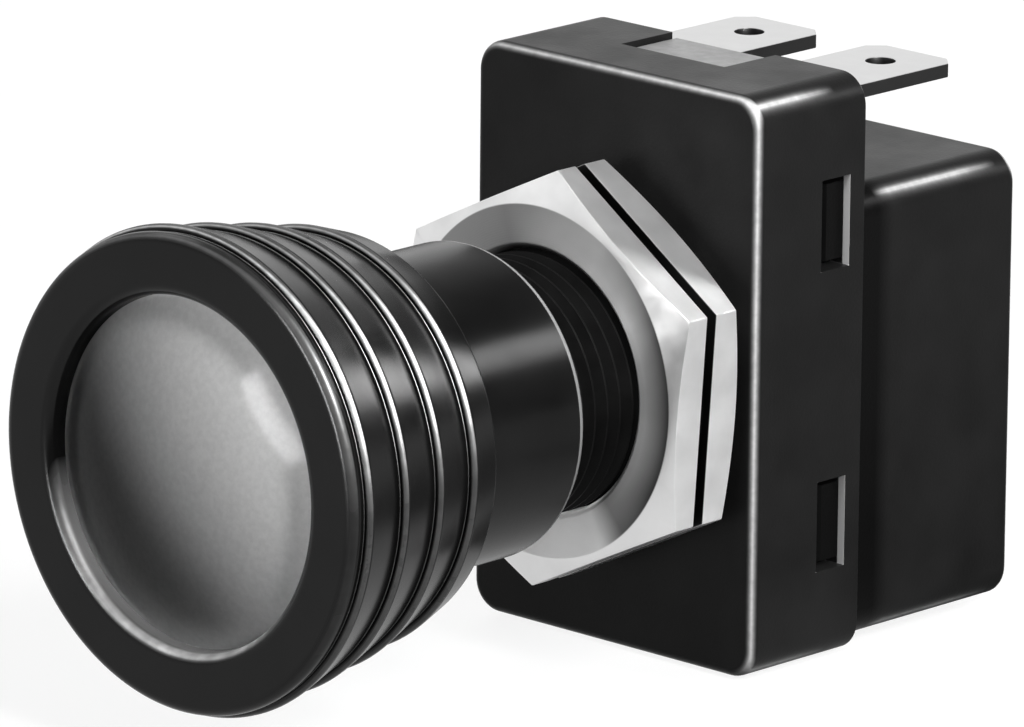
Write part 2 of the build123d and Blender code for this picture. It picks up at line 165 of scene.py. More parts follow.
def finishPiece(name, bm, look, body, node, sharpDeg):
    bmesh.ops.recalc_face_normals(bm, faces=bm.faces[:])
    bmesh.ops.scale(bm, vec=(mm, mm, mm), verts=bm.verts[:])
    piece = asObject(name, bm)
    piece.data.shade_smooth()
    piece.data.set_sharp_from_angle(angle=math.radians(sharpDeg))
    piece.data.materials.append(look)
    weighted = piece.modifiers.new("evenNormals", "WEIGHTED_NORMAL")
    weighted.keep_sharp = True
    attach(piece, body)
    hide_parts(node)
    print("piece", name, len(piece.data.polygons), "faces")


# material helpers; places in a finish are in metres, and a border is a pair, from where to where it blends

cloudSpan = (0.3, 0.7)  # most of a noise's values lie in here
speckSpan = (0.35, 0.65)  # narrower, for harder spots


def newLook(name):
    look = bpy.data.materials.new(name)
    look.use_nodes = True
    tree = look.node_tree
    tree.nodes.clear()
    out = tree.nodes.new("ShaderNodeOutputMaterial")
    shader = tree.nodes.new("ShaderNodeBsdfPrincipled")
    tree.links.new(shader.outputs["BSDF"], out.inputs["Surface"])
    return look, tree, shader


def feed(tree, source, socket):
    # a colour, a number or another node's output
    if isinstance(source, tuple):
        socket.default_value = (*source, 1)
    elif isinstance(source, (int, float)):
        socket.default_value = source
    else:
        tree.links.new(source, socket)


def addNoise(tree, scale, detail, rough=0.5, stretch=(1, 1, 1)):
    coord = tree.nodes.new("ShaderNodeTexCoord")
    place = tree.nodes.new("ShaderNodeMapping")
    place.inputs["Scale"].default_value = stretch
    noise = tree.nodes.new("ShaderNodeTexNoise")
    noise.inputs["Scale"].default_value = scale
    noise.inputs["Detail"].default_value = detail
    noise.inputs["Roughness"].default_value = rough
    tree.links.new(coord.outputs["Object"], place.inputs["Vector"])
    tree.links.new(place.outputs["Vector"], noise.inputs["Vector"])
    return noise.outputs["Fac"]


def addRange(tree, source, low, high, toLow, toHigh):
    node = tree.nodes.new("ShaderNodeMapRange")
    node.inputs["From Min"].default_value = low
    node.inputs["From Max"].default_value = high
    node.inputs["To Min"].default_value = toLow
    node.inputs["To Max"].default_value = toHigh
    tree.links.new(source, node.inputs["Value"])
    return node.outputs["Result"]


def addRise(tree, source, border):
    # 0 before a border and 1 after it
    return addRange(tree, source, *border, 0.0, 1.0)


def addFall(tree, source, border):
    # 1 before a border and 0 after it
    return addRange(tree, source, *border, 1.0, 0.0)


def addRamp(tree, source, stops):
    node = tree.nodes.new("ShaderNodeValToRGB")
    while len(node.color_ramp.elements) < len(stops):
        node.color_ramp.elements.new(0.5)
    for element, (at, colour) in zip(node.color_ramp.elements, stops):
        element.position = at
        element.color = (*colour, 1)
    tree.links.new(source, node.inputs["Fac"])
    return node.outputs["Color"]


def addTone(tree, source, dark, light, span=cloudSpan):
    return addRamp(tree, source, ((span[0], dark), (span[1], light)))


def addMix(tree, factor, first, second, kind="RGBA"):
    node = tree.nodes.new("ShaderNodeMix")
    node.data_type = kind
    feed(tree, factor, node.inputs["Factor"])
    feed(tree, first, node.inputs["A"])
    feed(tree, second, node.inputs["B"])
    return node.outputs["Result"]


def addMath(tree, operation, first, second=0):
    node = tree.nodes.new("ShaderNodeMath")
    node.operation = operation
    feed(tree, first, node.inputs[0])
    feed(tree, second, node.inputs[1])
    return node.outputs["Value"]


def addProduct(tree, first, *others):
    for other in others:
        first = addMath(tree, "MULTIPLY", first, other)
    return first


def addRest(tree, source):
    # what is left of 1
    return addMath(tree, "SUBTRACT", 1.0, source)


def addFar(tree, source, place):
    # distance from a place along one axis
    return addMath(tree, "ABSOLUTE", addMath(tree, "SUBTRACT", source, place))


def addBump(tree, shader, height, strength, distance, before=None):
    node = tree.nodes.new("ShaderNodeBump")
    node.inputs["Strength"].default_value = strength
    node.inputs["Distance"].default_value = distance
    tree.links.new(height, node.inputs["Height"])
    if before is not None:
        tree.links.new(before, node.inputs["Normal"])
    tree.links.new(node.outputs["Normal"], shader.inputs["Normal"])
    return node.outputs["Normal"]


def addParts(tree, output):
    # x, y and z of a texture coordinate
    coord = tree.nodes.new("ShaderNodeTexCoord")
    split = tree.nodes.new("ShaderNodeSeparateXYZ")
    tree.links.new(coord.outputs[output], split.inputs["Vector"])
    return split.outputs["X"], split.outputs["Y"], split.outputs["Z"]


def addRadius(tree):
    # distance from the plunger's axis, in metres
    coord = tree.nodes.new("ShaderNodeTexCoord")
    flat = tree.nodes.new("ShaderNodeMapping")
    flat.inputs["Scale"].default_value = (1, 0, 1)
    far = tree.nodes.new("ShaderNodeVectorMath")
    far.operation = "LENGTH"
    tree.links.new(coord.outputs["Object"], flat.inputs["Vector"])
    tree.links.new(flat.outputs["Vector"], far.inputs[0])
    return far.outputs["Value"]


def addBoxWearAndHighlight(tree, s):
    # wear and painted highlight: 1 in the middle of a rounded edge of a boxy piece, 0 on its flats; long
    # edges keep a thin painted highlight streak
    parts = [addMath(tree, "ABSOLUTE", part) for part in addParts(tree, "Normal")]
    facing = addMath(tree, "MAXIMUM", addMath(tree, "MAXIMUM", parts[0], parts[1]), parts[2])
    turned = addRise(tree, facing, s["edgeTurn"])
    across = addRise(tree, parts[1], s["acrossTurn"])
    along = addParts(tree, "Object")[1]
    run = addProduct(tree, addRise(tree, along, s["streakFrom"]), addFall(tree, along, s["streakTo"]))
    thin = addProduct(tree, addMath(tree, "POWER", turned, s["streakSharp"]), run, addRest(tree, across))
    broad = addProduct(tree, addMath(tree, "POWER", turned, s["wearSharp"]), across)
    paleShare = addMath(tree, "ADD", broad, thin)
    if "wearFrom" in s:
        paleShare = addProduct(tree, paleShare, addRise(tree, along, s["wearFrom"]))
    return paleShare


def addKnobWearAndHighlight(tree, s):
    # painted highlight and wear: the upper sides of the ribs' rims and the bottom of the recess lip are made
    # pale and metallic where the light falls on them
    forward, upward = addParts(tree, "Normal")[1:]
    rim = addProduct(tree, addRise(tree, forward, s["rimFront"]), addFall(tree, forward, s["rimSide"]))
    litFlank = addProduct(tree, addRange(tree, upward, *s["litFlankLow"], s["litFlankLeast"], 1.0),
                      addRange(tree, upward, *s["litFlankHigh"], 1.0, s["litFlankLeast"]))
    behind = addRange(tree, addParts(tree, "Object")[1], *s["discBack"], s["discWear"], 1.0)
    lip = addFall(tree, addRadius(tree), s["lipRadius"])
    onLip = addProduct(tree, lip, addRise(tree, upward, s["lipLow"]))
    onRibs = addProduct(tree, addRest(tree, lip), litFlank, behind)
    return addProduct(tree, rim, addMath(tree, "ADD", onLip, onRibs))


def addWearAndHighlight(tree, s):
    paleShare = addKnobWearAndHighlight(tree, s) if "rimFront" in s else addBoxWearAndHighlight(tree, s)
    patchy = addRange(tree, addNoise(tree, s["patchScale"], detail=3), *speckSpan, s["patchLeast"], 1.0)
    return addProduct(tree, paleShare, patchy, s["wear"])


def addCoverShadow(tree, colour, s):
    # painted shadow: darker on the case just behind the cover
    coverShadowMask = addFall(tree, addParts(tree, "Object")[1], s["coverShadowTo"])
    return addMix(tree, coverShadowMask, colour, s["coverShadowColour"])


def addPaleTop(tree, colour, s):
    place = addParts(tree, "Object")
    within = addFall(tree, addMath(tree, "ABSOLUTE", place[0]), s["paleHalf"])
    paleShare = addRange(tree, addNoise(tree, s["paleScale"], detail=4), *cloudSpan, s["paleLeast"], 1.0)
    pale = addProduct(tree, addRise(tree, place[2], s["paleTop"]), within, paleShare)
    return addMix(tree, pale, colour, s["paleColour"])


def addLitWall(tree, colour, s):
    # painted highlight on the rear walls of the latch windows
    across, along = addParts(tree, "Object")[:2]
    atWall = addFall(tree, addFar(tree, along, s["litWallAt"]), s["litWallNear"])
    facing = addFall(tree, addParts(tree, "Normal")[1], s["litWallFacing"])
    proud = addRise(tree, addMath(tree, "ABSOLUTE", across), s["litWallFrom"])
    return addMix(tree, addProduct(tree, atWall, facing, proud), colour, s["litWallColour"])


def addKnobPaintedLight(tree, colour, s):
    # painted light: the lower wall of the lens recess is painted pale where light falls on it, and the neck's
    # end has a painted highlight
    along = addParts(tree, "Object")[1]
    forward, upward = addParts(tree, "Normal")[1:]
    wall = addFall(tree, addRadius(tree), s["seatRadius"])
    outer = addFall(tree, along, s["seatBack"])
    dustAndLitWall = addProduct(tree, wall, outer, addRise(tree, upward, s["seatLow"]))
    colour = addMix(tree, dustAndLitWall, colour, s["seatColour"])
    rounded = addFall(tree, forward, s["neckRear"])
    atEdge = addRise(tree, along, s["neckEdge"])
    return addMix(tree, addProduct(tree, atEdge, rounded), colour, s["edgeColour"])


# a mark is added when the finish has its key
mouldedMarks = {"coverShadowTo": addCoverShadow, "paleTop": addPaleTop, "litWallAt": addLitWall, "seatRadius": addKnobPaintedLight}


def mouldedLook(name, s):
    look, tree, shader = newLook(name)
    cloud = addNoise(tree, s["cloudScale"], detail=4)
    colour = addTone(tree, cloud, s["dark"], s["light"])
    rough = addRange(tree, cloud, *cloudSpan, *s["rough"])
    # edges and rims are made pale by wear and by painted highlight
    if s["wear"]:
        wearAndHighlight = addWearAndHighlight(tree, s)
        colour = addMix(tree, wearAndHighlight, colour, s["wearAndHighlightColour"])
        rough = addMath(tree, "ADD", rough, addProduct(tree, wearAndHighlight, s["dulled"]))
        tree.links.new(addProduct(tree, wearAndHighlight, s["burnish"]), shader.inputs["Metallic"])
    for key, addMark in mouldedMarks.items():
        if key in s:
            colour = addMark(tree, colour, s)
    tree.links.new(colour, shader.inputs["Base Color"])
    tree.links.new(rough, shader.inputs["Roughness"])
    shader.inputs["Specular IOR Level"].default_value = s["shine"]
    grain = addNoise(tree, s["grainScale"], detail=2, rough=0.6)
    normal = addBump(tree, shader, grain, s["grain"], s["grainDepth"])
    flow = addNoise(tree, s["flowScale"], detail=2)
    addBump(tree, shader, flow, s["flow"], s["flowDepth"], normal)
    return look


def metalLook(name, s):
    look, tree, shader = newLook(name)
    shader.inputs["Metallic"].default_value = 1.0
    cloud = addNoise(tree, s["cloudScale"], detail=5)
    colour = addTone(tree, cloud, s["dark"], s["light"])
    if "edgeShade" in s:
        # painted shade: cut edges are darker than the rolled faces
        across = addMath(tree, "ABSOLUTE", addParts(tree, "Normal")[2])
        colour = addMix(tree, addFall(tree, across, s["edgeShadeTurn"]), colour, s["edgeShade"])
    tree.links.new(colour, shader.inputs["Base Color"])
    tree.links.new(addRange(tree, cloud, *cloudSpan, *s["rough"]), shader.inputs["Roughness"])
    lines = addNoise(tree, s["lineScale"], detail=3, rough=0.6, stretch=s["lineStretch"])
    addBump(tree, shader, lines, s["line"], s["lineDepth"])
    return look


# knob: one turned section, front disc, forward-lipped ribs, neck

knobSizes = {
    "front": -30.9, "rimRadius": 13.5, "rimRound": 0.85, "lipRound": 0.7, "recessRadius": 9.8,
    "seat": -28.3, "seatRound": 0.08, "ledgeRadius": 8.75, "ledgeRound": 0.1,
    "ribs": 4, "firstGroove": 1.05, "grooveRound": 0.05, "pitch": 3.25, "step": 0.42,
    "crest": 13.55, "fall": 0.46, "curve": 0.037, "lipRise": 0.1, "crestRound": 0.46,
    "lastLength": 2.3, "lastRound": 0.5, "neckRadius": 8.95, "neckEnd": -8.2, "neckRound": 0.55,
    "neckFillet": 0.3, "skirtRadius": 7.9, "skirtRound": 0.2, "hub": -16.8,
    "boreRadius": 4.52, "boreRound": 0.1, "bowl": -23.05, "bowlStep": 0.9, "roundSteps": 7, "steps": 256,
}
# the knob's pale, metallic rims are painted highlight and wear
knobFinish = {
    "dark": (0.003, 0.003, 0.003), "light": (0.006, 0.006, 0.006), "cloudScale": 180,
    "rough": (0.18, 0.26), "shine": 0.16,
    "grainScale": 2600, "grain": 0.06, "grainDepth": 0.00003,
    "flowScale": 140, "flow": 0.08, "flowDepth": 0.0002,
    "wear": 1.0, "wearAndHighlightColour": (0.40, 0.40, 0.40), "burnish": 1.0, "dulled": 0.40,
    "patchScale": 1440, "patchLeast": 0.8,
    "rimFront": (-0.96, -0.82), "rimSide": (-0.15, 0.0),
    "litFlankLow": (0.0, 0.3), "litFlankHigh": (0.66, 0.82), "litFlankLeast": 0.2,
    "discBack": (-0.02995, -0.02985), "discWear": 0.3, "lipRadius": (0.0110, 0.0112), "lipLow": (0.1, 0.65),
    "seatRadius": (0.00982, 0.00986), "seatBack": (-0.0282, -0.0281), "seatLow": (0.1, 0.6),
    "seatColour": (0.22, 0.22, 0.22),
    "neckEdge": (-0.00876, -0.00872), "neckRear": (0.75, 0.92), "edgeColour": (0.20, 0.20, 0.20),
}


def ribPoints(s):
    # groove and crest of each rib, then the end of the last one
    def crestAt(i):
        return s["crest"] - s["fall"] * i - s["curve"] * i * i

    points = []
    for i in range(s["ribs"]):
        grooveY = s["front"] + s["firstGroove"] + s["pitch"] * i
        points.append((crestAt(i) - s["step"], grooveY, s["grooveRound"]))
        points.append((crestAt(i) + s["lipRise"], grooveY, s["crestRound"]))
    share = s["lastLength"] / s["pitch"]
    endRadius = crestAt(s["ribs"] - 1 + share) - s["step"] * share
    endY = s["front"] + s["firstGroove"] + s["pitch"] * (s["ribs"] - 1) + s["lastLength"] + s["lastRound"]
    points.append((endRadius, endY, s["lastRound"]))
    return points


def makeKnob(s, finish):
    points = [
        (s["ledgeRadius"], s["seat"], s["ledgeRound"]),
        (s["recessRadius"], s["seat"], s["seatRound"]),
        (s["recessRadius"], s["front"], s["lipRound"]),
        (s["rimRadius"], s["front"], s["rimRound"]),
    ]
    points += ribPoints(s)
    points += [
        (s["neckRadius"], points[-1][1], s["neckFillet"]),
        (s["neckRadius"], s["neckEnd"], s["neckRound"]),
        (s["skirtRadius"], s["neckEnd"], s["skirtRound"]),
        (s["skirtRadius"], s["hub"], s["skirtRound"]),
        (s["boreRadius"], s["hub"], s["boreRound"]),
        (s["boreRadius"], s["bowl"], s["boreRound"]),
        (s["boreRadius"] + s["bowlStep"], s["bowl"], s["boreRound"]),
    ]
    bm = turnOnAxis(outline(points, s["roundSteps"]), s["steps"])
    look = mouldedLook("knobBlack", finish)
    finishPiece("knobMoulding", bm, look, "plunger", "knob", sharpDeg=50)


makeKnob(knobSizes, knobFinish)

# lens: thin dome with a rim that sits on the knob's ledge

lensSizes = {
    "radius": 9.75, "apex": -32.0, "dome": 2.2, "seat": -28.3, "edgeRound": 0.22, "roundSteps": 5,
    "innerRadius": 8.55, "innerApex": -30.8, "innerDome": 1.72, "arcSteps": 28, "steps": 160,
}
lensFinish = {
    "dark": (0.67, 0.67, 0.67), "light": (0.74, 0.74, 0.74), "speckScale": 2600,
    "cloudScale": 220, "rough": (0.10, 0.16), "ripple": 0.05, "rippleDepth": 0.0002,
    "seeThrough": 0.05, "bend": 1.49, "shine": 0.0, "coat": 0.06, "coatRough": 0.13,
}


def lensPlastic(name, s):
    look, tree, shader = newLook(name)
    speck = addNoise(tree, s["speckScale"], detail=3, rough=0.6)
    tree.links.new(addTone(tree, speck, s["dark"], s["light"], speckSpan), shader.inputs["Base Color"])
    cloud = addNoise(tree, s["cloudScale"], detail=4)
    tree.links.new(addRange(tree, cloud, *cloudSpan, *s["rough"]), shader.inputs["Roughness"])
    shader.inputs["Transmission Weight"].default_value = s["seeThrough"]
    shader.inputs["IOR"].default_value = s["bend"]
    shader.inputs["Specular IOR Level"].default_value = s["shine"]
    shader.inputs["Coat Weight"].default_value = s["coat"]
    shader.inputs["Coat Roughness"].default_value = s["coatRough"]
    addBump(tree, shader, cloud, s["ripple"], s["rippleDepth"])
    return look


def domeArc(bm, apex, radius, height, steps):
    # arc from the axis out to its end at the edge, as a chain of edges
    ballRadius = (radius * radius + height * height) / (2 * height)
    start = bm.verts.new((0, apex, 0))
    swept = bmesh.ops.spin(bm, geom=[start], cent=(0, apex + ballRadius, 0), axis=(0, 0, 1),
                           angle=math.asin(radius / ballRadius), steps=steps)
    return swept["geom_last"][0]


def makeLens(s, finish):
    bm = bmesh.new()
    outerEdge = domeArc(bm, s["apex"], s["radius"], s["dome"], s["arcSteps"])
    innerEdge = domeArc(bm, s["innerApex"], s["innerRadius"], s["innerDome"], s["arcSteps"])
    rimOut = bm.verts.new((s["radius"], s["seat"], 0))
    rimIn = bm.verts.new((s["innerRadius"], s["seat"], 0))
    for a, b in ((outerEdge, rimOut), (rimOut, rimIn), (rimIn, innerEdge)):
        bm.edges.new((a, b))
    for corner in (outerEdge, rimOut):
        roundCorner(bm, corner, s["edgeRound"], s["roundSteps"])
    bm = turnOnAxis(bm, s["steps"])
    look = lensPlastic("lensGrey", finish)
    finishPiece("lensDome", bm, look, "plunger", "lens", sharpDeg=50)


makeLens(lensSizes, lensFinish)

# hex nuts

nutSizes = {
    "acrossFlats": 21.0, "turnDeg": 4, "ringRadius": 10.03, "chamferDeg": 18, "beyond": 1.1,
    "boreRadius": 7.45, "boreChamfer": 0.35, "frontNut": (-2.8, 2.1), "rearNut": (0.0, 2.3),
    "edgeRound": 0.07, "steps": 144,
}
# the fans (painted sheen, light and dark) and rimShade (painted shade, darker towards the ring's outer edge)
# are (degrees round the axis from the right, level)
nutFinish = {
    "cloudScale": 500, "ringEdge": (0.00997, 0.01005), "ringMetal": 0.45, "ringShade": (0.0083, 0.01003),
    "ringLeast": 0.92,
    "paintedFans": ((-180, 0.5), (-80, 0.97), (-58, 0.97), (-48, 0.34), (-15, 0.64),
             (30, 0.60), (60, 0.97), (105, 0.28), (180, 0.5)),
    "rimShade": ((-60, 0.0), (-48, 0.6), (-30, 0.94), (25, 0.90), (60, 0.35), (95, 0.30), (110, 0.0)),
    "flatDark": (0.88, 0.88, 0.88), "flatLight": (0.97, 0.97, 0.97), "flatMetal": 0.85,
    "ringRough": (0.46, 0.54), "flatRough": (0.34, 0.44),
    "brushed": 0.8, "faceTurn": (0.5, 0.9), "outward": (100, 0, 100),
    "gapMiddle": -0.00035, "gapHalf": (0.00036, 0.00039), "gapShade": (0.01, 0.01, 0.01),
    "turning": 2400, "turned": 0.1, "turnDepth": 0.00002, "turnWander": 1.5, "wanderScale": 0.4,
}


def addNutColour(tree, cloud, onRing, s):
    across, along, up = addParts(tree, "Object")
    clock = addRange(tree, addMath(tree, "ARCTAN2", up, across), -math.pi, math.pi, 0.0, 1.0)
    # painted sheen in fans round the ring, and painted shade towards its outer edge
    paintedFan, shade = (addRamp(tree, clock, [((deg + 180) / 360, (level,) * 3) for deg, level in s[key]])
                  for key in ("paintedFans", "rimShade"))
    outer = addRise(tree, addRadius(tree), s["ringShade"])
    lightness = addProduct(tree, paintedFan, addRest(tree, addProduct(tree, shade, outer)))
    ring = addProduct(tree, lightness, addRange(tree, cloud, *cloudSpan, s["ringLeast"], 1.0))
    flat = addTone(tree, cloud, s["flatDark"], s["flatLight"])
    # painted shade: dark between the two nuts
    inGap = addFall(tree, addFar(tree, along, s["gapMiddle"]), s["gapHalf"])
    return addMix(tree, inGap, addMix(tree, onRing, flat, ring), s["gapShade"])


def addTurning(tree, s):
    # fine rings left by the lathe
    wave = tree.nodes.new("ShaderNodeTexWave")
    wave.wave_type = "RINGS"
    wave.rings_direction = "Y"
    wave.inputs["Scale"].default_value = s["turning"]
    wave.inputs["Distortion"].default_value = s["turnWander"]
    wave.inputs["Detail Scale"].default_value = s["wanderScale"]
    coord = tree.nodes.new("ShaderNodeTexCoord")
    tree.links.new(coord.outputs["Object"], wave.inputs["Vector"])
    return wave.outputs["Fac"]


def addBrushing(tree, shader, s):
    # turning marks run round the axis, so the shine spreads outwards from it, and along the flats
    sideways, forward, upward = addParts(tree, "Normal")
    alongFlat = tree.nodes.new("ShaderNodeCombineXYZ")
    tree.links.new(upward, alongFlat.inputs["X"])
    tree.links.new(addProduct(tree, sideways, -1.0), alongFlat.inputs["Z"])
    coord = tree.nodes.new("ShaderNodeTexCoord")
    outward = tree.nodes.new("ShaderNodeMapping")
    outward.inputs["Scale"].default_value = s["outward"]
    tree.links.new(coord.outputs["Object"], outward.inputs["Vector"])
    onFace = addRise(tree, addMath(tree, "ABSOLUTE", forward), s["faceTurn"])
    way = addMix(tree, onFace, alongFlat.outputs["Vector"], outward.outputs["Vector"], "VECTOR")
    tree.links.new(way, shader.inputs["Tangent"])
    shader.inputs["Anisotropic"].default_value = s["brushed"]


def nutMetal(name, s):
    # plated steel with a lathe-turned ring on its face
    look, tree, shader = newLook(name)
    cloud = addNoise(tree, s["cloudScale"], detail=5)
    onRing = addFall(tree, addRadius(tree), s["ringEdge"])
    metal = addRange(tree, onRing, 0.0, 1.0, s["flatMetal"], s["ringMetal"])
    tree.links.new(metal, shader.inputs["Metallic"])
    tree.links.new(addNutColour(tree, cloud, onRing, s), shader.inputs["Base Color"])
    flatRough, ringRough = (addRange(tree, cloud, *cloudSpan, *s[key]) for key in ("flatRough", "ringRough"))
    tree.links.new(addMix(tree, onRing, flatRough, ringRough, "FLOAT"), shader.inputs["Roughness"])
    addBrushing(tree, shader, s)
    height = addProduct(tree, addTurning(tree, s), onRing)
    addBump(tree, shader, height, s["turned"], s["turnDepth"])
    return look


def makeNut(name, node, y0, thickness, chamferFront, look, s):
    cornerRadius = s["acrossFlats"] / math.sqrt(3)
    bm = bmesh.new()
    bmesh.ops.create_circle(bm, cap_ends=True, segments=6, radius=cornerRadius)
    rotate(bm, 90, "X")
    rotate(bm, s["turnDeg"], "Y")
    bmesh.ops.translate(bm, vec=(0, y0, 0), verts=bm.verts[:])
    thicken(bm, (0, thickness, 0))
    # the lathe takes the corners off one side and opens the bore
    y1 = y0 + thickness
    turnedFace, plainFace, inward = (y0, y1, 1) if chamferFront else (y1, y0, -1)
    farRadius = cornerRadius * s["beyond"]
    drop = (farRadius - s["ringRadius"]) * math.tan(math.radians(s["chamferDeg"]))
    bore, cut = s["boreRadius"], s["boreChamfer"]
    points = [
        (s["ringRadius"], turnedFace, 0),
        (farRadius, turnedFace + inward * drop, 0),
        (farRadius, plainFace + inward * lap, 0),
        (bore + cut, plainFace + inward * lap, 0),
        (bore + cut, plainFace, 0),
        (bore, plainFace - inward * cut, 0),
        (bore, turnedFace + inward * cut, 0),
        (bore + cut, turnedFace, 0),
    ]
    bm = carve(bm, turnOnAxis(outline(points), s["steps"]), "INTERSECT")
    softenSharp(bm, s["edgeRound"], overDeg=15)
    finishPiece(name, bm, look, "housing", node, sharpDeg=30)


nutLook = nutMetal("nutNickel", nutFinish)
makeNut("frontHexNut", "front_nut", *nutSizes["frontNut"], True, nutLook, nutSizes)
makeNut("rearHexNut", "rear_nut", *nutSizes["rearNut"], False, nutLook, nutSizes)

# bushing: core and a fine thread wound round it

bushingSizes = {
    "front": -16.4, "crest": 7.4, "root": 6.86, "boreRadius": 4.55, "flangeFront": 5.4, "flangeRear": 7.0,
    "flangeRadius": 8.8, "boreRound": 0.15, "frontRound": 0.3, "edgeRound": 0.1,
    "roundSteps": 3, "steps": 120,
    "pitch": 1.0, "threadFrom": -15.9, "threadEnd": (2.3, 2.7), "turns": 18, "turnSteps": 72,
    "ridgeSunk": 0.1, "ridgeShare": 0.95, "ridgeFlat": 0.07,
}
bushingFinish = {
    "dark": (0.002, 0.002, 0.002), "light": (0.005, 0.005, 0.005), "cloudScale": 400,
    "rough": (0.45, 0.6), "shine": 0.06,
    "grainScale": 6000, "grain": 0.2, "grainDepth": 0.00002,
    "flowScale": 300, "flow": 0.1, "flowDepth": 0.0001, "wear": 0.0,
}


def windThread(bm, s):
    foot = s["root"] - s["ridgeSunk"]
    half = s["pitch"] / 2 * s["ridgeShare"]
    ridge = [(foot, -half), (s["crest"], -s["ridgeFlat"]), (s["crest"], s["ridgeFlat"]), (foot, half)]
    corners = [bm.verts.new((r, s["threadFrom"] + y, 0)) for r, y in ridge]
    edges = [bm.edges.new(pair) for pair in zip(corners, corners[1:] + corners[:1])]
    bmesh.ops.spin(bm, geom=corners + edges, cent=(0, 0, 0), axis=(0, 1, 0),
                   dvec=(0, s["pitch"] / s["turnSteps"], 0), angle=2 * math.pi * s["turns"],
                   steps=s["turnSteps"] * s["turns"])
    bmesh.ops.holes_fill(bm, edges=[e for e in bm.edges if e.is_boundary], sides=0)


def makeBushing(s, finish):
    core = outline([
        (s["boreRadius"], s["front"], s["boreRound"]),
        (s["root"], s["front"], s["frontRound"]),
        (s["root"], s["threadEnd"][0], s["edgeRound"]),
        (s["crest"], s["threadEnd"][1], s["edgeRound"]),
        (s["crest"], s["flangeFront"], s["edgeRound"]),
        (s["flangeRadius"], s["flangeFront"], s["edgeRound"]),
        (s["flangeRadius"], s["flangeRear"], s["edgeRound"]),
        (s["boreRadius"], s["flangeRear"], s["boreRound"]),
    ], s["roundSteps"])
    bm = turnOnAxis(core, s["steps"])
    windThread(bm, s)
    look = mouldedLook("bushingBlack", finish)
    finishPiece("bushingThread", bm, look, "housing", "threaded_bushing", sharpDeg=35)


makeBushing(bushingSizes, bushingFinish)

# front cover: shell with latch windows, a top notch and a round boss

coverSizes = {
    "halfWidth": 10.75, "top": 16.8, "bottom": -16.5, "front": 3.4, "rear": 12.2, "corner": 1.8, "edge": 0.6,
    "cornerSteps": 12, "edgeSteps": 6, "wall": 1.4, "frontWall": 2.0,
    "bossRadius": 9.0, "bossInner": 6.5, "bossFront": 2.3, "boreRadius": 7.45, "boreLength": 20, "steps": 96,
    "window": (8.7, 11.0), "windowHalf": 2.6, "windowAt": (-8.55, 8.75), "notchHalf": 3.9, "notchFront": 8.0,
    "ribAt": 5.0, "ribHalf": 1.5, "ribRear": 8.0, "ribZ": (10.9, 14.4), "edgeRound": 0.12,
}
# the pale rounded edges of the housing are wear and painted highlight
housingFinish = {
    "dark": (0.009, 0.009, 0.009), "light": (0.013, 0.013, 0.013), "cloudScale": 260,
    "rough": (0.32, 0.42), "shine": 0.08,
    "grainScale": 5200, "grain": 0.35, "grainDepth": 0.00003,
    "flowScale": 120, "flow": 0.15, "flowDepth": 0.0002,
    "wear": 1.0, "wearAndHighlightColour": (0.52, 0.52, 0.52), "burnish": 0.0, "dulled": 0.0,
    "patchScale": 2080, "patchLeast": 0.8,
    "edgeTurn": (0.985, 0.74), "acrossTurn": (0.05, 0.3), "wearSharp": 1.5,
    "streakFrom": (0.0030, 0.0034), "streakTo": (0.0070, 0.0100), "streakSharp": 5.0,
}
# painted highlight: the rear walls of the latch windows are pale where they stand proud of the lugs
coverFinish = dict(housingFinish, litWallAt=0.0110, litWallNear=(0.00002, 0.00005), litWallFacing=(-0.95, -0.8),
                   litWallFrom=(0.01022, 0.01028), litWallColour=(0.50, 0.50, 0.50))


def hollowBack(bm, s, inner):
    back = max(bm.faces, key=lambda f: f.calc_center_median().y)
    bmesh.ops.inset_region(bm, faces=[back], thickness=s["wall"], use_even_offset=True, use_boundary=True)
    sunk = bmesh.ops.extrude_discrete_faces(bm, faces=[back])["faces"][0]
    bmesh.ops.translate(bm, vec=(0, inner - s["rear"], 0), verts=sunk.verts[:])


def joinBossAndRibs(bm, s, inner):
    boss = outline([
        (s["bossInner"], s["bossFront"], 0),
        (s["bossRadius"], s["bossFront"], 0),
        (s["bossRadius"], inner - lap, 0),
        (s["bossInner"], inner - lap, 0),
    ])
    bm = carve(bm, turnOnAxis(boss, s["steps"]), "UNION")
    for side in (-1, 1):
        x = side * s["ribAt"]
        rib = block(x - s["ribHalf"], x + s["ribHalf"], inner - lap, s["ribRear"], *s["ribZ"])
        bm = carve(bm, rib, "UNION")
    return bm


def makeCover(s, finish):
    bm = mouldedBox(s, s["front"])
    inner = s["front"] + s["frontWall"]
    hollowBack(bm, s, inner)
    bm = joinBossAndRibs(bm, s, inner)
    hole = rod(s["boreRadius"], s["boreLength"], s["steps"])
    rotate(hole, 90, "X")
    bm = carve(bm, hole)
    sideCut = (s["halfWidth"] - 2 * s["wall"], s["halfWidth"] + past)
    for side in (-1, 1):
        for z in s["windowAt"]:
            bm = carve(bm, sideBlock(side, sideCut, s["window"], z, s["windowHalf"]))
    notch = block(-s["notchHalf"], s["notchHalf"], s["notchFront"], s["rear"] + past,
                  s["top"] - 2 * s["wall"], s["top"] + past)
    bm = carve(bm, notch)
    softenSharp(bm, s["edgeRound"])
    look = mouldedLook("housingBlack", finish)
    finishPiece("coverShell", bm, look, "housing", "front_cover", sharpDeg=30)


makeCover(coverSizes, coverFinish)

# rear case: plate inside the cover, box behind it, keying tongue and latch lugs

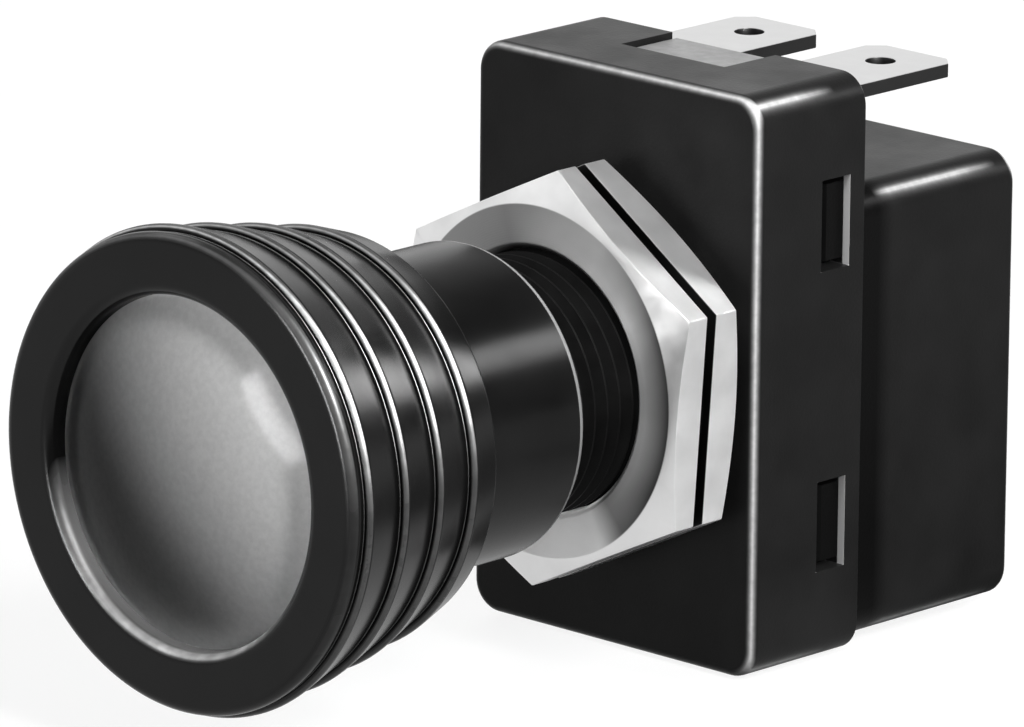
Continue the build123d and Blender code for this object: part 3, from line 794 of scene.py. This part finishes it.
caseSizes = {
    "halfWidth": 10.1, "top": 10.0, "bottom": -16.1, "front": 12.2, "rear": 25.8, "corner": 1.8, "edge": 0.5,
    "cornerSteps": 12, "edgeSteps": 6,
    "plateHalf": 9.33, "plateZ": (-15.08, 15.38), "plateFront": 8.8, "plateCorner": 0.4,
    "cavityHalf": 8.3, "cavityZ": (-14.3, 8.2), "cavityRear": 24.0,
    "bladeAt": 5.0, "bladeHalf": 3.17, "bladeZ": (14.6, 18.0),
    "tongueHalf": 3.6, "tongueFront": 8.8, "tongueZ": (15.42, 16.5), "stemHalf": 1.81, "stemZ": (14.1, 15.72),
    "lugX": (8.35, 10.25), "lugY": (9.1, 11.0), "lugHalf": 2.2, "lugAt": (-8.55, 8.75), "lugRamp": 0.5,
    "bedHalf": 4.05, "bedY": (8.87, 20.23), "bedZ": -14.7, "edgeRound": 0.12,
}
# the top of the tongue in the cover's notch is paler, and the corner behind the cover has a painted shadow
caseFinish = dict(housingFinish, wearFrom=(0.0122, 0.0123), streakFrom=(0.0138, 0.0150),
                  streakTo=(0.0210, 0.0245), paleTop=(0.01638, 0.01640), paleHalf=(0.0036, 0.0037),
                  paleScale=1500, paleLeast=0.75, paleColour=(0.26, 0.26, 0.26),
                  coverShadowTo=(0.0142, 0.0154), coverShadowColour=(0.002, 0.002, 0.002))


def joinPlate(bm, s):
    # front plate, hollowed with the box and slotted for the blades
    plate = block(-s["plateHalf"], s["plateHalf"], s["plateFront"], s["front"], *s["plateZ"])
    roundEdges(plate, edgesAlong(plate, (0, 1, 0)), s["plateCorner"], s["edgeSteps"])
    bm = carve(bm, plate, "UNION")
    cutFront = s["plateFront"] - past
    bm = carve(bm, block(-s["cavityHalf"], s["cavityHalf"], cutFront, s["cavityRear"], *s["cavityZ"]))
    for side in (-1, 1):
        x = side * s["bladeAt"]
        slot = block(x - s["bladeHalf"], x + s["bladeHalf"], cutFront, s["front"] + past, *s["bladeZ"])
        bm = carve(bm, slot)
    return bm


def joinTongue(bm, s):
    for half, heights in ((s["stemHalf"], s["stemZ"]), (s["tongueHalf"], s["tongueZ"])):
        bm = carve(bm, block(-half, half, s["tongueFront"], s["front"], *heights), "UNION")
    return bm


def joinLugs(bm, s):
    for side in (-1, 1):
        for z in s["lugAt"]:
            lug = sideBlock(side, s["lugX"], s["lugY"], z, s["lugHalf"])
            lead = edgesOn(edgesOn(lug.edges, 1, s["lugY"][0]), 0, side * s["lugX"][1])
            roundEdges(lug, lead, s["lugRamp"], steps=1)
            bm = carve(bm, lug, "UNION")
    return bm


def makeCase(s, finish):
    bm = mouldedBox(s, s["rear"])
    bm = joinPlate(bm, s)
    bm = joinTongue(bm, s)
    bm = joinLugs(bm, s)
    # bed for the detent spring
    bm = carve(bm, block(-s["bedHalf"], s["bedHalf"], *s["bedY"], s["bedZ"], s["cavityZ"][0] + lap))
    softenSharp(bm, s["edgeRound"])
    look = mouldedLook("caseBlack", finish)
    finishPiece("caseMoulding", bm, look, "housing", "rear_case", sharpDeg=30)


makeCase(caseSizes, caseFinish)

# terminals: strips bent round the case's plate, with a blade at the back

bladeSizes = {
    "half": 3.15, "thick": 0.8, "top": 15.4, "tip": 23.1, "bendFront": 8.0, "contactTop": 8.2,
    "bend": 0.4, "bendSteps": 6, "nip": 1.1, "tipBevel": 0.22,
    "holeRadius": 0.85, "holeBack": 3.3, "holeSteps": 48, "punchLength": 3, "edgeRound": 0.06,
    "load": (-5.0, 21.9), "supply": (5.0, 15.45),
}
stripFinish = {
    "cloudScale": 700, "lineScale": 5000, "lineStretch": (1, 0.06, 1), "line": 0.12, "lineDepth": 0.00002,
}
terminalFinish = dict(stripFinish, dark=(0.59, 0.59, 0.59), light=(0.66, 0.66, 0.66), rough=(0.34, 0.42),
                      edgeShade=(0.05, 0.05, 0.05), edgeShadeTurn=(0.35, 0.75))


def bentStrip(x, stripEnd, s):
    t, y0, top = s["thick"], s["bendFront"], s["top"]
    under = s["contactTop"] - t
    path = [(stripEnd, under), (y0, under), (y0, top), (s["tip"], top), (s["tip"], top - t),
            (y0 + t, top - t), (y0 + t, under + t), (stripEnd, under + t)]
    bm = bmesh.new()
    bm.faces.new([bm.verts.new((x - s["half"], y, z)) for y, z in path])
    thicken(bm, (2 * s["half"], 0, 0))
    roundEdges(bm, edgesOn(edgesAlong(bm, (1, 0, 0)), 1, y0), s["bend"], s["bendSteps"])
    roundEdges(bm, edgesOn(edgesAlong(bm, (0, 0, 1)), 1, s["tip"]), s["nip"], steps=1)
    roundEdges(bm, edgesOn(edgesAlong(bm, (1, 0, 0)), 1, s["tip"]), s["tipBevel"], steps=1)
    return bm


def makeTerminal(name, node, x, stripEnd, look, s):
    bm = bentStrip(x, stripEnd, s)
    punch = rod(s["holeRadius"], s["punchLength"], s["holeSteps"])
    middle = s["top"] - s["thick"] / 2
    bmesh.ops.translate(punch, vec=(x, s["tip"] - s["holeBack"], middle), verts=punch.verts[:])
    bm = carve(bm, punch)
    softenSharp(bm, s["edgeRound"], overDeg=25)
    finishPiece(name, bm, look, "housing", node, sharpDeg=30)


terminalLook = metalLook("terminalTin", terminalFinish)
makeTerminal("loadBlade", "load_terminal", *bladeSizes["load"], terminalLook, bladeSizes)
makeTerminal("supplyBlade", "supply_terminal", *bladeSizes["supply"], terminalLook, bladeSizes)

# inner pieces keep their solids and get their own finishes

innerPlastic = dict(housingFinish, wear=0.0)
sliderFinish = dict(innerPlastic, dark=(0.55, 0.53, 0.48), light=(0.66, 0.64, 0.58), shine=0.45)
insulatorFinish = dict(innerPlastic, dark=(0.11, 0.055, 0.025), light=(0.19, 0.10, 0.05), shine=0.4)
leadFinish = dict(innerPlastic, dark=(0.30, 0.30, 0.30), light=(0.42, 0.42, 0.42), shine=0.4)
springFinish = dict(stripFinish, dark=(0.38, 0.38, 0.39), light=(0.52, 0.52, 0.53), rough=(0.25, 0.38))
tubeFinish = dict(stripFinish, dark=(0.50, 0.50, 0.51), light=(0.62, 0.62, 0.63), rough=(0.22, 0.32))
brassFinish = dict(stripFinish, dark=(0.58, 0.42, 0.17), light=(0.74, 0.56, 0.26), rough=(0.24, 0.40))
silverFinish = dict(stripFinish, dark=(0.72, 0.71, 0.69), light=(0.88, 0.87, 0.85), rough=(0.2, 0.35))
bulbFinish = {
    "dark": (0.86, 0.87, 0.86), "light": (0.96, 0.96, 0.96), "dustScale": 900,
    "rough": (0.03, 0.10), "bend": 1.5,
}


def bulbGlass(name, s):
    look, tree, shader = newLook(name)
    dustAndLitWall = addNoise(tree, s["dustScale"], detail=4)
    tree.links.new(addTone(tree, dustAndLitWall, s["dark"], s["light"]), shader.inputs["Base Color"])
    tree.links.new(addRange(tree, dustAndLitWall, *cloudSpan, *s["rough"]), shader.inputs["Roughness"])
    shader.inputs["Transmission Weight"].default_value = 1.0
    shader.inputs["IOR"].default_value = s["bend"]
    return look


innerLooks = (
    (mouldedLook("sliderNatural", sliderFinish), ("slider",)),
    (mouldedLook("insulatorBrown", insulatorFinish), ("lamp_base", "contact_plug")),
    (mouldedLook("leadInsulation", leadFinish), ("lamp_lead",)),
    (metalLook("springSteel", springFinish),
     ("detent_spring", "lamp_spring", "slider_clip", "bridge_springs")),
    (metalLook("tubeSteel", tubeFinish), ("plunger_tube",)),
    (metalLook("lampBrass", brassFinish), ("lamp_cap", "lamp_contact", "contact_bridge", "lead_discs")),
    (metalLook("contactSilver", silverFinish), ("lamp_tip", "bridge_buttons")),
    (bulbGlass("lampGlass", bulbFinish), ("lamp_glass",)),
)
for look, nodeNames in innerLooks:
    for nodeName in nodeNames:
        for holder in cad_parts[nodeName].material_slots:
            holder.material = look
print("inner pieces finished:", sum(len(nodeNames) for look, nodeNames in innerLooks))

# floor, surround and lamps

floorSettings = {
    "height": -0.0166, "half": 1.5, "seen": 1.0, "white": 0.93, "shadow": 0.24, "bounce": 0.02,
    "mirroredLeft": 1.0, "mirroredRight": 0.15, "rightFrom": (0.015, 0.04),
    "mirroredBehind": 0.60, "behindFrom": (-0.04, 0.02),
    "mirroredStrip": 0.12, "stripFrom": (0.012, 0.028), "stripTo": (0.031, 0.042),
}


def addMatt(tree, level):
    node = tree.nodes.new("ShaderNodeBsdfDiffuse")
    feed(tree, (level, level, level), node.inputs["Color"])
    return node.outputs["BSDF"]


def addGlow(tree, level):
    node = tree.nodes.new("ShaderNodeEmission")
    feed(tree, level, node.inputs["Strength"])
    return node.outputs["Emission"]


def addChoice(tree, factor, first, second):
    node = tree.nodes.new("ShaderNodeMixShader")
    feed(tree, factor, node.inputs["Fac"])
    feed(tree, first, node.inputs[1])
    feed(tree, second, node.inputs[2])
    return node.outputs["Shader"]


def addRays(tree):
    # rays that the camera sees, also through clear pieces, and rays that mirror
    path = tree.nodes.new("ShaderNodeLightPath")
    seen = addMath(tree, "MAXIMUM", path.outputs["Is Camera Ray"], path.outputs["Is Transmission Ray"])
    return seen, path.outputs["Is Glossy Ray"]


def addFloorMirror(tree, s):
    # light on the left, dim on the right, grey behind, with a dark strip for the ribs and the lower housing
    across, along = addParts(tree, "Object")[:2]
    inFront = addRange(tree, across, *s["rightFrom"], s["mirroredLeft"], s["mirroredRight"])
    behind = addRise(tree, along, s["behindFrom"])
    strip = addProduct(tree, addRise(tree, along, s["stripFrom"]), addFall(tree, across, s["stripTo"]))
    rear = addRange(tree, strip, 0.0, 1.0, s["mirroredBehind"], s["mirroredStrip"])
    front = addProduct(tree, inFront, addRest(tree, behind))
    return addMath(tree, "ADD", front, addProduct(tree, behind, rear))


def floorLook(name, s):
    # white to the camera with part of the shadow kept, set areas where it is mirrored, dull as a bounce
    look, tree, shader = newLook(name)
    tree.nodes.remove(shader)
    seenRays, mirrorRays = addRays(tree)
    seen = addChoice(tree, s["shadow"], addGlow(tree, s["seen"]), addMatt(tree, s["white"]))
    mirrored = addChoice(tree, mirrorRays, addMatt(tree, s["bounce"]), addGlow(tree, addFloorMirror(tree, s)))
    surface = addChoice(tree, seenRays, mirrored, seen)
    tree.links.new(surface, tree.nodes["Material Output"].inputs["Surface"])
    return look


def makeFloor(s):
    bm = bmesh.new()
    bmesh.ops.create_grid(bm, x_segments=4, y_segments=4, size=s["half"])
    bmesh.ops.translate(bm, vec=(0, 0, s["height"]), verts=bm.verts[:])
    floor = asObject("studioFloor", bm)
    floor.data.materials.append(floorLook("floorPale", s))


makeFloor(floorSettings)

surround = {
    "camera": 1.0, "fill": 0.012, "dim": 0.08, "card": 1.0, "cardSide": (0.1, -0.3), "cardTop": (0.80, 0.45),
}


def makeWorld(s):
    # white card low on the left, dim room elsewhere, white wherever the camera looks
    world = bpy.data.worlds.new("studioSurround")
    bpy.context.scene.world = world
    world.use_nodes = True
    tree = world.node_tree
    tree.nodes.clear()
    out = tree.nodes.new("ShaderNodeOutputWorld")
    back = tree.nodes.new("ShaderNodeBackground")
    away = addParts(tree, "Generated")
    onCard = addProduct(tree, addRise(tree, away[0], s["cardSide"]), addRise(tree, away[2], s["cardTop"]))
    card = addRange(tree, onCard, 0.0, 1.0, s["dim"], s["card"])
    seenRays, mirrorRays = addRays(tree)
    mirrored = addMix(tree, mirrorRays, s["fill"], card, "FLOAT")
    tree.links.new(addMix(tree, seenRays, mirrored, s["camera"], "FLOAT"), back.inputs["Strength"])
    tree.links.new(back.outputs["Background"], out.inputs["Surface"])


makeWorld(surround)

lamps = {
    "keyRight": {"az": 79, "el": 38, "far": 0.8, "size": (0.16, 0.3), "power": 4.5},
    "keyOpen": {"az": 79, "el": 38, "far": 0.8, "size": (0.16, 0.3), "power": 5.7, "shadow": False},
    "keyGloss": {"az": 79, "el": 42, "far": 0.8, "size": (0.12, 0.12), "power": 14, "glossOnly": True},
    "rimRight": {"az": 146, "el": 30, "far": 0.7, "size": (0.15, 0.15), "power": 0.9},
    "rimBehind": {"az": 178, "el": 12, "far": 0.7, "size": (0.22, 0.11), "power": 0.7},
    "backLeft": {"az": -140, "el": 18, "far": 0.7, "size": (0.5, 0.25), "power": 0.2},
    "backFill": {"az": -135, "el": 8, "far": 0.7, "size": (0.5, 0.18), "power": 7, "mattOnly": True},
    "cardLeft": {"az": -85, "el": 46, "far": 0.7, "size": (0.5, 0.25), "power": 1.0, "glossOnly": True},
    "lensGlint": {"az": -8.5, "el": 5, "far": 0.15, "size": (0.018, 0.072), "power": 0.32, "roll": 45,
                  "target": (0.007, -0.030, 0.004), "glossOnly": True},
    "nutCard": {"az": 49, "el": 46, "far": 0.022, "size": (0.006, 0.006), "power": 0.0036,
                "target": (0.0045, -0.0028, 0.0078), "mattOnly": True},
}


def aimed(s, target):
    # matrix at az (0 = knob side, 90 = right) and el, looking at the target and rolled
    a, e = math.radians(s["az"]), math.radians(s["el"])
    back = Vector((math.sin(a) * math.cos(e), -math.cos(a) * math.cos(e), math.sin(e)))
    right = Vector((math.cos(a), math.sin(a), 0))
    up = back.cross(right)
    place = Matrix((right, up, back)).transposed().to_4x4()
    place.translation = Vector(target) + back * s["far"]
    return place @ Matrix.Rotation(math.radians(s.get("roll", 0)), 4, "Z")


def makeLamps(rig):
    for name, s in rig.items():
        light = bpy.data.lights.new(name, "AREA")
        light.shape = "RECTANGLE"
        light.size, light.size_y = s["size"]
        light.energy = s["power"]
        light.use_shadow = s.get("shadow", True)
        lamp = bpy.data.objects.new(name, light)
        lamp.visible_diffuse = not s.get("glossOnly", False)
        lamp.visible_glossy = not s.get("mattOnly", False)
        lamp.visible_camera = False
        lamp.matrix_world = aimed(s, s.get("target", (0, 0, 0)))
        bpy.context.scene.collection.objects.link(lamp)


makeLamps(lamps)

cameraSettings = {
    "az": 43.528, "el": 14.885, "roll": 0.547, "far": 0.61073, "lens": 386.72, "sensor": 36,
    "target": (0, -0.001709, 0), "shift": (0.002107, -0.000795), "clip": (0.05, 10),
}


def makeCamera(s):
    data = bpy.data.cameras.new("photoCamera")
    data.lens = s["lens"]
    data.sensor_width = s["sensor"]
    data.clip_start, data.clip_end = s["clip"]
    camera = bpy.data.objects.new("photoCamera", data)
    place = aimed(s, s["target"])
    place.translation -= place.to_3x3() @ Vector((*s["shift"], 0))
    camera.matrix_world = place
    bpy.context.scene.collection.objects.link(camera)
    bpy.context.scene.camera = camera


makeCamera(cameraSettings)
bpy.context.scene.view_settings.view_transform = "Standard"
print("stage ready")
